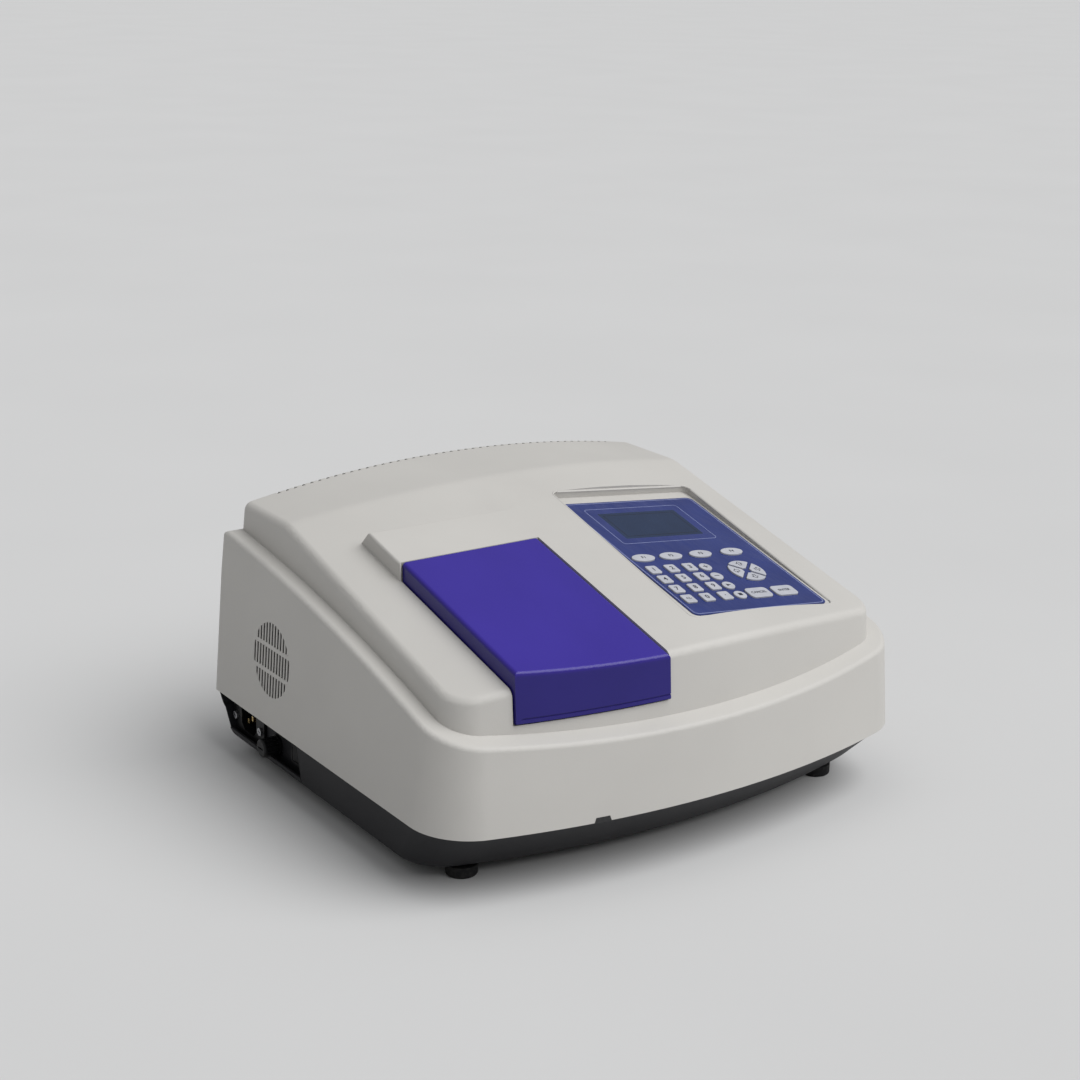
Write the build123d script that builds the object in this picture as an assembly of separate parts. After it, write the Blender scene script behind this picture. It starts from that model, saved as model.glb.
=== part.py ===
from build123d import *
from math import cos, pi, radians, sin, sqrt, tan
import os

# A bench UV-VIS spectrophotometer. It is drawn from the seam between its upper cover and
# its base tray: x to the right, y = 0 at the back, the front at -y, z up. On export each
# piece is moved so that the origin is under the middle of the footprint, on the bench.

# Outer form of the cover
width = 400.0
depth = 359.0
front_bow = 33.5
corner_radius = 45.0
back_corner_radius = 7.0
draft_angle = 4.2
cover_wall = 3.5

# The step that runs round the cover
step_width = 12.8
step_back_height = 126.4
step_middle_height = 99.5
step_front_height = 52.0
step_round = 4.0

# The crowned roof: a level band at the back, then a slope down to the front
roof_height = 162.0
crease_setback = 94.0
roof_slope = 0.25
rear_crown_radius = 950.0
slope_crown_radius = 780.0
crease_round = 45.0
roof_round = 7.0

# Sample lid and its opening
lid_left = -141.0
lid_right = -29.0
lid_back = -184.0
lid_front_bottom = 70.0
lid_proud = 2.0
lid_wall = 2.5
lid_side_drop = 18.0
lid_gap = 1.0
lid_back_gap = 1.5
lid_sweep_gap = 0.5
lid_groove_depth = 0.6
lid_groove_height = 1.0
lid_groove_up = 2.5
saddle_length = 43.0
saddle_sink = 0.4
saddle_shoulder = 1.0

# Lid hinge
hinge_setback = 14.0
hinge_drop = 6.5
rod_radius = 1.5
knuckle_radius = 3.6
knuckle_width = 8.0
knuckle_inset = 16.0
knuckle_gap = 0.3
running_gap = 0.05

# Keypad panel, a plane sunk in the crowned slope
panel_x = 81.0
panel_y = -218.0
panel_sink = 5.9
panel_pitch = 0.2225
panel_width = 130.0
panel_length = 185.0
panel_corner = 6.0
pocket_floor = 3.0
overlay_width = 122.0
overlay_length = 171.0
overlay_offset = -4.5
overlay_thickness = 0.8
overlay_corner = 5.0
window_width = 72.0
window_length = 40.0
window_u = -5.0
window_v = 42.5

# Keys on the panel
key_height = 1.2
key_gap = 0.3
key_travel = 0.4
key_flange = 0.7
key_flange_thickness = 0.8
digit_width = 9.6
digit_length = 10.6
digit_pitch_u = 16.4
digit_pitch_v = 14.3
digit_u = -51.5
digit_v = -26.0
oval_width = 20.0
oval_length = 10.0
oval_us = [-48.0, -23.0, 4.5, 34.0]
oval_v = -8.2
round_radius = 5.0
round_u = -5.6
round_v = -27.8
round_pitch = 14.0
arrow_u = 26.0
arrow_v = -37.4
arrow_reach = 14.5
arrow_inner = 3.6
arrow_gap = 1.8
big_width = 20.0
big_length = 13.0
big_us = [12.2, 36.0]
big_v = -69.0

# Base tray and feet
tray_depth = 39.0
tray_wall = 3.0
tray_inset = 2.0
tray_side_inset = 9.0
tray_back_inset = 14.0
tray_front_inset = 42.0
tray_round = 8.0
foot_height = 8.0
foot_radius = 11.0
foot_x = 156.0
foot_front = -285.0
foot_back = -45.0

# Connector recess on the left
recess_depth = 15.0
recess_back = -7.0
recess_front = -132.0
recess_height = 35.0
recess_slant = 6.0
connector_z = -20.0
inlet_y = -34.5
inlet_width = 50.0
inlet_height = 27.0
inlet_flange = 2.5
socket_width = 24.2
socket_height = 16.4
socket_depth = 15.0
socket_wall = 2.0
screw_pitch = 40.0
fuse_y = -77.0
fuse_radius = 7.0
fuse_cap_length = 12.0
switch_y = -112.0
switch_width = 21.0
switch_height = 15.0
rocker_swing = 8.0

# Case screws and posts
post_radius = 7.0
post_front_x = 176.0
post_front = -272.0
post_back_x = 158.0
post_back = -26.0
post_back_height = 40.0
post_rib = 4.0
screw_radius = 2.0
screw_head_radius = 4.0
screw_head_height = 3.0
screw_bite = 12.0
counterbore = 20.0

# Vents
side_vent_radius = 27.5
side_vent_y = -92.0
side_vent_z = 50.0
side_slot = 2.5
side_pitch = 4.3
side_bar = 3.0
side_bar_offset = 9.5
top_slot = 2.8
top_pitch = 6.8
top_slot_count = 45
top_slot_depth = 8.0

# Optics and electronics inside
bench_bottom = -4.0
bench_thickness = 8.0
bench_left = -172.0
bench_right = 150.0
bench_back = -22.0
bench_front = -316.0
bench_boss_radius = 8.0
chamber_left = -134.0
chamber_right = -36.0
chamber_back = -203.5
chamber_front = -314.0
chamber_wall = 2.5
rim_drop = 9.0
seal_height = 6.0
beam_y = -215.5
beam_z = 46.0
beam_hole = 6.0
cell_size = 12.6
cell_pitch = 14.4
cell_count = 4
cell_depth = 32.0
carriage_width = 44.0
carriage_wall = 2.4
carriage_base = 12.0
carriage_lift = 2.0
guide_radius = 3.0
guide_spread = 32.0
pushrod_radius = 2.0
motor_radius = 10.5
motor_length = 24.0
mono_left = -20.0
mono_right = 146.0
mono_back = -112.0
mono_front = -286.0
mono_height = 58.0
mono_wall = 4.0
lamp_left = 62.0
lamp_back = -28.0
lamp_front = -104.0
lamp_height = 66.0
lamp_wall = 2.5
board_gap = 6.0
board_thickness = 1.6
fan_size = 60.0
fan_depth = 15.0
fan_x = 104.0
fan_z = 52.0
fan_bore = 28.0
fan_hub = 11.0
fan_blades = 7

# Worked out from the sizes above
seam_height = tray_depth + foot_height
bow_radius = ((width / 2) ** 2 + front_bow**2) / (2 * front_bow)
bow_centre = bow_radius - depth
draft = tan(radians(draft_angle))
bench_top = bench_bottom + bench_thickness
hinge_y = lid_back - hinge_setback
block = 600.0

os.makedirs("parts", exist_ok=True)
to_bench = Pos(0, depth / 2, seam_height)


def save(name, shape):
    """Write one sub-part, moved from the drawing's datum to the bench."""
    export_step(to_bench * shape, f"parts/{name}.step")


def lid_plane_z(y):
    """Height of the flat plane that touches the roof along its middle line."""
    return roof_height + roof_slope * (y + crease_setback)


def step_z(y):
    """Height of the step at y: a parabola through its back, middle and front heights."""
    half = depth / 2
    fall_half = step_middle_height - step_back_height
    fall_full = step_front_height - step_back_height
    bend = (fall_full - 2 * fall_half) / (2 * half**2)
    tilt = bend * half - fall_half / half
    return step_back_height + tilt * y + bend * y**2


def front_y(x, z, inset=0.0):
    """Place of the bowed, drafted front wall at x and height z."""
    return bow_centre - sqrt((bow_radius - inset - draft * z) ** 2 - x**2)


def box(x0, x1, y0, y1, z0, z1):
    """A block between two corners."""
    return Pos((x0 + x1) / 2, (y0 + y1) / 2, (z0 + z1) / 2) * Box(abs(x1 - x0), abs(y1 - y0), abs(z1 - z0))


def group(items):
    """Several separate solids in one node."""
    return Compound([solid for item in items for solid in item.solids()])


def tube_x(radius, x0, x1, y, z):
    """A round bar along x."""
    return Pos((x0 + x1) / 2, y, z) * Rot(0, 90, 0) * Cylinder(radius, abs(x1 - x0))


def tube_y(radius, x, y0, y1, z):
    """A round bar along y."""
    return Pos(x, (y0 + y1) / 2, z) * Rot(90, 0, 0) * Cylinder(radius, abs(y1 - y0))


def post(radius, x, y, z0, z1):
    """A round bar along z."""
    return Pos(x, y, (z0 + z1) / 2) * Cylinder(radius, abs(z1 - z0))


def side_profile(points, x0, x1):
    """A closed outline given as (y, z) points, drawn out along x."""
    face = make_face(Polyline(*points, close=True))
    return extrude(Plane.YZ.offset(x0) * face, amount=x1 - x0)


def outline(side, back, front):
    """Plan of the case, moved in from its outer edge by three insets."""
    half = width / 2 - side
    radius = bow_radius - front
    corner_y = bow_centre - sqrt(radius**2 - half**2)
    edges = [
        Line((half, -back), (-half, -back)),
        Line((-half, -back), (-half, corner_y)),
        ThreePointArc((-half, corner_y), (0, bow_centre - radius), (half, corner_y)),
        Line((half, corner_y), (half, -back)),
    ]
    face = make_face(edges)
    rows = face.vertices().group_by(Axis.Y)
    face = fillet(rows[0], corner_radius - min(side, front))
    rows = face.vertices().group_by(Axis.Y)
    return fillet(rows[-1], max(back_corner_radius - side, 1.5))


def under_arch(height, radius):
    """Upright face under an arch whose top is at the given height."""
    half = width * 0.55
    sag = radius - sqrt(radius**2 - half**2)
    edges = [
        ThreePointArc((-half, height - sag), (0, height), (half, height - sag)),
        Line((half, height - sag), (half, -block / 2)),
        Line((half, -block / 2), (-half, -block / 2)),
        Line((-half, -block / 2), (-half, height - sag)),
    ]
    return make_face(edges)


def roof_region(drop):
    """Everything under the level band and under the slope, lowered by drop."""
    start = 60.0
    level = extrude(Plane.XZ.offset(-start) * under_arch(roof_height - drop, rear_crown_radius), amount=block)
    top = lid_plane_z(start) - drop
    run = block * sqrt(1 + roof_slope**2)
    slope_face = Plane.XZ.offset(-start) * under_arch(top, slope_crown_radius)
    slope = extrude(slope_face, amount=run, dir=(0, -1, -roof_slope))
    return level & slope


def step_region(drop):
    """Everything under the curved step, lowered by drop."""
    over = 6.0
    ends = (over, -depth - over)
    rise = [step_z(y) - drop for y in (ends[0], -depth / 2, ends[1])]
    edges = [
        ThreePointArc((ends[0], rise[0]), (-depth / 2, rise[1]), (ends[1], rise[2])),
        Line((ends[1], rise[2]), (ends[1], -1)),
        Line((ends[1], -1), (ends[0], -1)),
        Line((ends[0], -1), (ends[0], rise[0])),
    ]
    return extrude(Plane.YZ.offset(-block / 2) * make_face(edges), amount=block)


def drafted(side, back, front, height):
    """The case plan drawn up with draft."""
    return extrude(outline(side, back, front), amount=height, taper=draft_angle)


def under_lid_plane(drop):
    """Everything under the lid's flat top plane, lowered by drop square to it."""
    fall = drop * sqrt(1 + roof_slope**2)
    behind = 60.0
    points = [(behind, lid_plane_z(behind) - fall), (behind, -block / 2),
              (-block, -block / 2), (-block, lid_plane_z(-block) - fall)]
    return side_profile(points, -block / 2, block / 2)


panel_tilt = panel_x / slope_crown_radius
panel_z = lid_plane_z(panel_y) - panel_x**2 / (2 * slope_crown_radius) - panel_sink
panel_right = Vector(1, 0, -panel_tilt)
panel_up_slope = Vector(0, 1, panel_pitch)
panel = Plane(origin=(panel_x, panel_y, panel_z), x_dir=panel_right, z_dir=panel_right.cross(panel_up_slope))


def on_panel(shape):
    """Place a shape drawn in the panel's own u, v and height."""
    return panel * shape


def slab(u, v, wide, long, low, high, radius):
    """A plate with round corners, in panel axes."""
    return Pos(u, v, low) * extrude(RectangleRounded(wide, long, radius), amount=high - low)


def saddle():
    """The raised block behind the lid that carries the lid's plane on to the roof."""
    top_back = lid_back + saddle_length
    high = lid_plane_z(top_back) - saddle_sink
    points = [
        (lid_back, lid_plane_z(lid_back) - saddle_sink),
        (top_back, high),
        (top_back + high / 2, high / 2),
        (lid_back, high / 2),
    ]
    return side_profile(points, lid_left - lid_gap - saddle_shoulder, 0)


def upper_cover():
    """The moulded cover: stepped skirt, crowned upper body, openings and vents."""
    skirt = drafted(0, 0, 0, step_back_height + 20) & step_region(0)
    top_face = skirt.faces().sort_by(Axis.Z)[-1]
    skirt = fillet(top_face.edges(), step_round)
    body = drafted(step_width, 0, step_width, roof_height + 15) & roof_region(0)
    crease = body.edges().filter_by(lambda e: abs(e.center().X) < 5 and e.length > width * 0.7)
    crease = crease.filter_by(lambda e: -depth / 2 < e.center().Y < -crease_setback / 2)
    body = fillet(crease, crease_round)
    rim = body.edges().filter_by(lambda e: e.center().Z > step_front_height + 25 and not on_roof(e))
    body = fillet(rim, roof_round)
    hump = fillet(saddle().edges().filter_by(lambda e: e.center().Z > lid_plane_z(lid_back) - 3), 2.0)
    shell = skirt + body + hump

    core = drafted(cover_wall, cover_wall, cover_wall, step_back_height + 20) & step_region(cover_wall)
    inset = step_width + cover_wall
    core += drafted(inset, cover_wall, inset, roof_height + 15) & roof_region(cover_wall)
    core += box(-width / 2 + 30, width / 2 - 30, -depth + 60, -20, -1, 5)
    bed = slab(0, 0, panel_width + 5, panel_length + 5, -pocket_floor, 30, panel_corner + 2.5)
    solid = shell - core + (on_panel(bed) & shell)

    for x, y in case_screws():
        high = post_back_height if y == post_back else step_z(y) - 1.5
        solid += post(post_radius, x, y, 0, high)
        if y == post_back:
            solid += box(x - post_rib / 2, x + post_rib / 2, y, -cover_wall / 2 - draft * high, 0, high)
        solid -= post(screw_radius, x, y, -1, screw_bite + 2)

    solid -= box(lid_left - lid_gap, lid_right + lid_gap, -depth - 5, lid_back + lid_back_gap,
                 lid_front_bottom - lid_back_gap, roof_height + 20)
    solid -= tube_x(lid_sweep(), lid_left - lid_gap, lid_right + lid_gap, hinge_y, hinge_z)
    solid -= on_panel(slab(0, 0, panel_width, panel_length, 0, 30, panel_corner))
    key_field = slab(0, -41.5, overlay_width - 3, 88, -pocket_floor - 20, 1, 3)
    glass_field = slab(window_u, window_v, window_width + 10, window_length + 8, -pocket_floor - 20, 1, 2)
    solid -= on_panel(key_field) + on_panel(glass_field)
    return solid - side_vent_slots() - top_vent_slots() - fan_grille()


def lid_sweep():
    """Reach of the lid's upper back edge round the hinge, with a running clearance."""
    return sqrt((lid_back - hinge_y) ** 2 + (lid_plane_z(lid_back) - hinge_z) ** 2) + lid_sweep_gap


def on_roof(edge):
    """True where an edge is the line between the roof's level band and its slope."""
    middle = edge.center()
    return abs(middle.X) < 5 and -depth * 0.75 < middle.Y < -20


def side_vent_slots():
    """Upright slots inside a circle on the left wall, split by two level bars."""
    columns = int(side_vent_radius / side_pitch)
    slots = Sketch()
    for i in range(-columns, columns + 1):
        slots += Pos(i * side_pitch, 0) * Rectangle(side_slot, 2 * side_vent_radius)
    slots &= Circle(side_vent_radius)
    for side in (-1, 1):
        slots -= Pos(0, side * side_bar_offset) * Rectangle(3 * side_vent_radius, side_bar)
    place = Plane(origin=(-width / 2 - 2, side_vent_y, side_vent_z), x_dir=(0, -1, 0), z_dir=(-1, 0, 0))
    return extrude(place * slots, amount=-(cover_wall + 12))


def top_vent_slots():
    """The row of short slots that cuts the top edge of the back wall."""
    half = (top_slot_count - 1) / 2
    slots = []
    for i in range(top_slot_count):
        x = (i - half) * top_pitch
        top = roof_height - x**2 / (2 * rear_crown_radius)
        back = -draft * top
        slots.append(box(x - top_slot / 2, x + top_slot / 2, back - top_slot_depth, back + 2,
                         top - top_slot_depth, top + 2))
    return slots


def fan_grille():
    """Round grille of level slots in the back wall, behind the fan."""
    face = Sketch()
    for i in range(-4, 5):
        face += Pos(0, i * 6.0) * Rectangle(2 * fan_bore, 3.2)
    face &= Circle(fan_bore - 2)
    place = Plane(origin=(fan_x, 5, fan_z), x_dir=(1, 0, 0), z_dir=(0, -1, 0))
    return extrude(place * face, amount=fan_depth)


def sample_lid():
    """The blue lid: flat top, bowed front and two hinge knuckles under its back edge."""
    inset = step_width - lid_proud
    outer = drafted(inset, 0, inset, roof_height + 15) & under_lid_plane(0)
    outer &= box(lid_left, lid_right, -depth, lid_back, lid_front_bottom, roof_height)
    rim = outer.edges().filter_by(lambda e: e.center().Z > lid_plane_z(e.center().Y) - 1)
    back_edge = rim.sort_by(Axis.Y)[-1]
    outer = fillet([e for e in rim if e.center().Y < back_edge.center().Y - 1], 3.0)
    inner_inset = inset + lid_wall
    inner = drafted(inner_inset, 0, inner_inset, roof_height + 15) & under_lid_plane(lid_wall)
    inner &= box(lid_left + lid_wall, lid_right - lid_wall, -depth, lid_back + 5, 0, roof_height)
    shell = outer - inner
    deep = lid_side_drop * sqrt(1 + roof_slope**2)
    wall_foot = front_y(lid_left, lid_front_bottom, inner_inset) + 3
    points = [
        (wall_foot, 0), (wall_foot, lid_plane_z(wall_foot) - deep),
        (lid_back + 5, lid_plane_z(lid_back + 5) - deep), (lid_back + 5, 0),
    ]
    shell -= side_profile(points, lid_left - 1, lid_right + 1)
    groove_z = lid_front_bottom + lid_groove_up
    ring = box(lid_left - 1, lid_right + 1, -depth, wall_foot - 6, groove_z, groove_z + lid_groove_height)
    shell -= ring - drafted(inset + lid_groove_depth, 0, inset + lid_groove_depth, roof_height)
    for x in knuckle_places():
        hanger = tube_x(knuckle_radius, x, x + knuckle_width, hinge_y, hinge_z)
        hanger += box(x, x + knuckle_width, hinge_y - knuckle_radius, hinge_y + knuckle_radius,
                      hinge_z, hinge_z + hinge_drop)
        shell += hanger & under_lid_plane(lid_wall / 2)
    return shell - tube_x(rod_radius + running_gap, lid_left + lid_wall, lid_right - lid_wall, hinge_y, hinge_z)


def knuckle_places():
    """Left ends of the two knuckles."""
    return [lid_left + knuckle_inset, lid_right - knuckle_inset - knuckle_width]


def bracket_places():
    """Left ends of the two brackets, each beside a knuckle on its inner side."""
    left, right = knuckle_places()
    return [left + knuckle_width + knuckle_gap, right - knuckle_gap - knuckle_width]


hinge_z = lid_plane_z(hinge_y) - hinge_drop * sqrt(1 + roof_slope**2)
rim_fall = rim_drop * sqrt(1 + roof_slope**2)


def lid_hinge_rod():
    """Steel rod through both knuckles and both brackets."""
    left = knuckle_places()[0] - 2
    right = knuckle_places()[1] + knuckle_width + 2
    return tube_x(rod_radius, left, right, hinge_y, hinge_z)


def hinge_brackets():
    """Two bent brackets on the back of the sample chamber."""
    foot_low = lid_plane_z(chamber_back) - rim_fall - 24
    foot_high = lid_plane_z(chamber_back) - rim_fall - 4
    pair = []
    for x in bracket_places():
        plate = side_profile([(chamber_back, foot_low), (chamber_back + 3, foot_low),
                              (chamber_back + 3, foot_high - 3), (hinge_y, hinge_z - knuckle_radius),
                              (hinge_y - knuckle_radius * 0.7, hinge_z + knuckle_radius * 0.7),
                              (chamber_back, foot_high)], x, x + knuckle_width)
        plate += tube_x(knuckle_radius, x, x + knuckle_width, hinge_y, hinge_z)
        pair.append(plate - tube_x(rod_radius, x - 1, x + knuckle_width + 1, hinge_y, hinge_z))
    return group(pair)


def sample_chamber():
    """Black tub that holds the cells, with beam ports, rod seats and a slanted rim."""
    outer = box(chamber_left, chamber_right, chamber_front, chamber_back, bench_top, roof_height)
    inner = box(chamber_left + chamber_wall, chamber_right - chamber_wall, chamber_front + chamber_wall,
                chamber_back - chamber_wall, bench_top + chamber_wall, roof_height + 1)
    tub = (outer - inner) & under_lid_plane(rim_drop)
    tub -= tube_x(beam_hole, chamber_left - 5, chamber_right + 5, beam_y, beam_z)
    tub -= tube_y(pushrod_radius + 0.4, carriage_x, chamber_back - 10, chamber_back + 5, rod_z)
    return tub


carriage_x = (chamber_left + chamber_right) / 2
carriage_low = bench_top + chamber_wall + carriage_lift
rod_z = carriage_low + carriage_base / 2
carriage_length = cell_count * cell_pitch + carriage_wall
first_cell = beam_y
carriage_back = first_cell + cell_pitch / 2 + carriage_wall / 2
cell_travel = (cell_count - 1) * cell_pitch
cell_floor = carriage_low + carriage_base


def cell_carriage():
    """Four-place cell holder on two guide bores, with its push rod."""
    back = carriage_back
    front = back - carriage_length
    half = carriage_width / 2
    tower = cell_size / 2 + carriage_wall
    top = cell_floor + cell_depth
    body = box(carriage_x - half, carriage_x + half, front, back, carriage_low, cell_floor)
    body += box(carriage_x - tower, carriage_x + tower, front, back, cell_floor, top)
    for i in range(cell_count):
        y = first_cell - i * cell_pitch
        body -= box(carriage_x - cell_size / 2, carriage_x + cell_size / 2, y - cell_size / 2,
                    y + cell_size / 2, cell_floor, top + 1)
        body -= tube_x(beam_hole - 2, carriage_x - half, carriage_x + half, y, beam_z)
    for side in (-1, 1):
        body -= tube_y(guide_radius + running_gap, carriage_x + side * guide_spread / 2, front - 1, back + 1, rod_z)
    return body + tube_y(pushrod_radius, carriage_x, back - 2, chamber_back + motor_length + cell_travel, rod_z)


def guide_rods():
    """Two ground rods between the chamber's front and back walls."""
    return group([
        tube_y(guide_radius, carriage_x + side * guide_spread / 2, chamber_front + chamber_wall,
               chamber_back - chamber_wall, rod_z)
        for side in (-1, 1)
    ])


def carriage_drive():
    """Small linear motor on the back of the chamber; the push rod runs through it."""
    body = tube_y(motor_radius, carriage_x, chamber_back, chamber_back + motor_length, rod_z)
    body += box(carriage_x - motor_radius, carriage_x + motor_radius, chamber_back, chamber_back + 3,
                bench_top, rod_z + motor_radius)
    return body - tube_y(pushrod_radius + 0.4, carriage_x, chamber_back - 1, chamber_back + motor_length + 1, rod_z)


def lid_seal():
    """Foam gasket round the chamber's rim, just under the closed lid."""
    lip = 1.5
    ring = box(chamber_left, chamber_right, chamber_front, chamber_back, 0, roof_height)
    ring -= box(chamber_left + chamber_wall + lip, chamber_right - chamber_wall - lip,
                chamber_front + chamber_wall + lip, chamber_back - chamber_wall - lip, -1, roof_height + 1)
    return (ring & under_lid_plane(rim_drop - seal_height)) - under_lid_plane(rim_drop)


def base_tray():
    """Dark tray under the seam: sloped front, connector recess, bench bosses and feet seats."""
    def section(low, grow):
        share = low / tray_depth
        sides = [tray_inset + (end - tray_inset) * share + grow
                 for end in (tray_side_inset, tray_back_inset, tray_front_inset)]
        return Pos(0, 0, -low) * outline(*sides)

    round_steps = 5
    turns = [radians(90 * i / round_steps) for i in range(round_steps + 1)]
    flank = tray_depth - tray_round
    rounded = [section(flank + tray_round * sin(t), tray_round * (1 - cos(t))) for t in turns]
    outer = loft([section(0, 0)] + rounded, ruled=True)
    hollow = [section(0, tray_wall), section(flank, tray_wall), section(tray_depth - tray_wall, tray_round)]
    inner = loft(hollow, ruled=True)
    tray = outer - inner
    seat = -width / 2 + recess_depth
    pocket = side_profile([(recess_back, 1), (recess_back, -recess_height),
                           (recess_front + recess_slant, -recess_height), (recess_front, 1)], -width / 2 - 5, seat)
    walls = side_profile([(recess_back + tray_wall, 0), (recess_back + tray_wall, -tray_depth),
                          (recess_front + recess_slant - tray_wall, -tray_depth),
                          (recess_front - tray_wall, 0)], -width / 2, seat + tray_wall)
    tray += walls & outer
    tray -= pocket
    for x, y in bench_screws():
        tray += post(bench_boss_radius, x, y, -tray_depth + 1, bench_bottom)
    for x, y in case_screws():
        tray += post(post_radius, x, y, -tray_depth + 2, 0) & outer
        tray -= post(screw_head_radius + 0.5, x, y, -tray_depth - 1, -tray_depth + counterbore)
        tray -= post(screw_radius + 0.3, x, y, -tray_depth, 1)
    tray -= inlet_hole() + fuse_hole() + switch_hole()
    return tray - base_slots()


def case_screws():
    """Places of the four long screws that join the tray to the cover."""
    return [(side * x, y) for x, y in ((post_front_x, post_front), (post_back_x, post_back)) for side in (-1, 1)]


def bench_screws():
    """Places of the four bosses under the optical bench."""
    return [(-140, -60), (-140, -270), (130, -60), (130, -270)]


def base_slots():
    """Air slots through the tray's floor."""
    return [box(x - 2, x + 2, -190, -140, -tray_depth - 1, -tray_depth + tray_wall + 1) for x in range(-60, 70, 12)]


recess_x = -width / 2 + recess_depth


def inlet_hole():
    """Cut-out for the mains inlet in the recess wall."""
    wide = socket_width / 2 + socket_wall
    high = socket_height / 2 + socket_wall
    return box(recess_x - 5, recess_x + 8, inlet_y - wide, inlet_y + wide, connector_z - high, connector_z + high)


def fuse_hole():
    """Cut-out for the fuse holder."""
    return tube_x(fuse_radius - 1.5, recess_x - 5, recess_x + 8, fuse_y, connector_z - 3)


def switch_hole():
    """Cut-out for the power switch."""
    return box(recess_x - 5, recess_x + 8, switch_y - switch_width / 2 + 1.2, switch_y + switch_width / 2 - 1.2,
               connector_z - switch_height / 2 + 1.2, connector_z + switch_height / 2 - 1.2)


def power_inlet():
    """Three-pole mains inlet with its flange and shaped socket."""
    flange = box(recess_x - inlet_flange, recess_x, inlet_y - inlet_width / 2, inlet_y + inlet_width / 2,
                 connector_z - inlet_height / 2, connector_z + inlet_height / 2)
    flange = chamfer(flange.edges().filter_by(Axis.X), 6.0)
    wide = socket_width / 2 + socket_wall
    high = socket_height / 2 + socket_wall
    body = box(recess_x, recess_x + socket_depth + 3, inlet_y - wide, inlet_y + wide,
               connector_z - high, connector_z + high)
    mouth = box(recess_x - 5, recess_x - inlet_flange + socket_depth, inlet_y - socket_width / 2,
                inlet_y + socket_width / 2, connector_z - socket_height / 2, connector_z + socket_height / 2)
    lower = mouth.edges().filter_by(Axis.X).group_by(Axis.Z)[0]
    mouth = chamfer(lower, 4.5)
    inlet = flange + body - mouth
    for side in (-1, 1):
        inlet -= tube_x(1.7, recess_x - 5, recess_x + 1, inlet_y + side * screw_pitch / 2, connector_z)
    return inlet


def inlet_pins():
    """Line, neutral and earth blades."""
    root = recess_x - inlet_flange + socket_depth
    places = [(-7.0, -1.5), (7.0, -1.5), (0.0, 2.5)]
    return group([
        box(root - 12, root, inlet_y + y - 1.0, inlet_y + y + 1.0, connector_z + z - 2.0, connector_z + z + 2.0)
        for y, z in places
    ])


def inlet_screws():
    """Two pan-head screws with cross slots that hold the inlet."""
    screws = []
    for side in (-1, 1):
        y = inlet_y + side * screw_pitch / 2
        head = tube_x(3.0, recess_x - inlet_flange - 1.8, recess_x - inlet_flange, y, connector_z)
        head += tube_x(1.5, recess_x - inlet_flange, recess_x, y, connector_z)
        face = recess_x - inlet_flange - 1.8
        head -= box(face - 1, face + 0.8, y - 2.2, y + 2.2, connector_z - 0.35, connector_z + 0.35)
        head -= box(face - 1, face + 0.8, y - 0.35, y + 0.35, connector_z - 2.2, connector_z + 2.2)
        screws.append(head)
    return group(screws)


fuse_z = connector_z - 3
fuse_nose = 8.0


def fuse_holder():
    """Panel sleeve of the fuse holder, with the nose that its cap turns on."""
    sleeve = tube_x(fuse_radius - 1.7, recess_x, recess_x + 24, fuse_y, fuse_z)
    sleeve += tube_x(fuse_radius + 1, recess_x - 2, recess_x, fuse_y, fuse_z)
    sleeve += tube_x(fuse_radius - 3, recess_x - 2 - fuse_nose, recess_x - 2, fuse_y, fuse_z)
    return sleeve - tube_x(fuse_radius - 4.2, recess_x - 3 - fuse_nose, recess_x + 20, fuse_y, fuse_z)


def fuse_cap():
    """Ribbed cap that turns on the fuse holder's nose."""
    back = recess_x - 2 - key_gap
    front = back - fuse_cap_length
    cap = tube_x(fuse_radius, front, back, fuse_y, fuse_z)
    cap = fillet(cap.edges().sort_by(Axis.X)[0], 1.5)
    cap -= tube_x(fuse_radius - 3 + running_gap, back - fuse_nose - 1, back + 1, fuse_y, fuse_z)
    ribs = 14
    for i in range(ribs):
        turn = 2 * pi * i / ribs
        cap -= tube_x(0.7, front + 2.5, back + 1, fuse_y + fuse_radius * cos(turn), fuse_z + fuse_radius * sin(turn))
    return cap - box(front - 1, front + 1.2, fuse_y - 4, fuse_y + 4, fuse_z - 0.6, fuse_z + 0.6)


rocker_x = recess_x + 2.5
rocker_half = (switch_width - 6) / 2


def switch_frame():
    """Bezel and housing of the power switch, open at its face."""
    bezel = box(recess_x - 2, recess_x, switch_y - switch_width / 2, switch_y + switch_width / 2,
                connector_z - switch_height / 2, connector_z + switch_height / 2)
    bezel = fillet(bezel.edges().filter_by(Axis.X), 1.5)
    bezel += box(recess_x, recess_x + 14, switch_y - switch_width / 2 + 1.5, switch_y + switch_width / 2 - 1.5,
                 connector_z - switch_height / 2 + 1.5, connector_z + switch_height / 2 - 1.5)
    well = box(recess_x - 3, recess_x + 8.5, switch_y - rocker_half - 1.2, switch_y + rocker_half + 1.2,
               connector_z - switch_height / 2 + 2.3, connector_z + switch_height / 2 - 2.3)
    frame = bezel - well
    return frame - tube_z_pair()


def tube_z_pair():
    """Bores for the rocker's two pivot stubs."""
    reach = switch_height / 2 - 1.6
    return post(1.0 + running_gap, rocker_x, switch_y, connector_z - reach, connector_z + reach)


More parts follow.
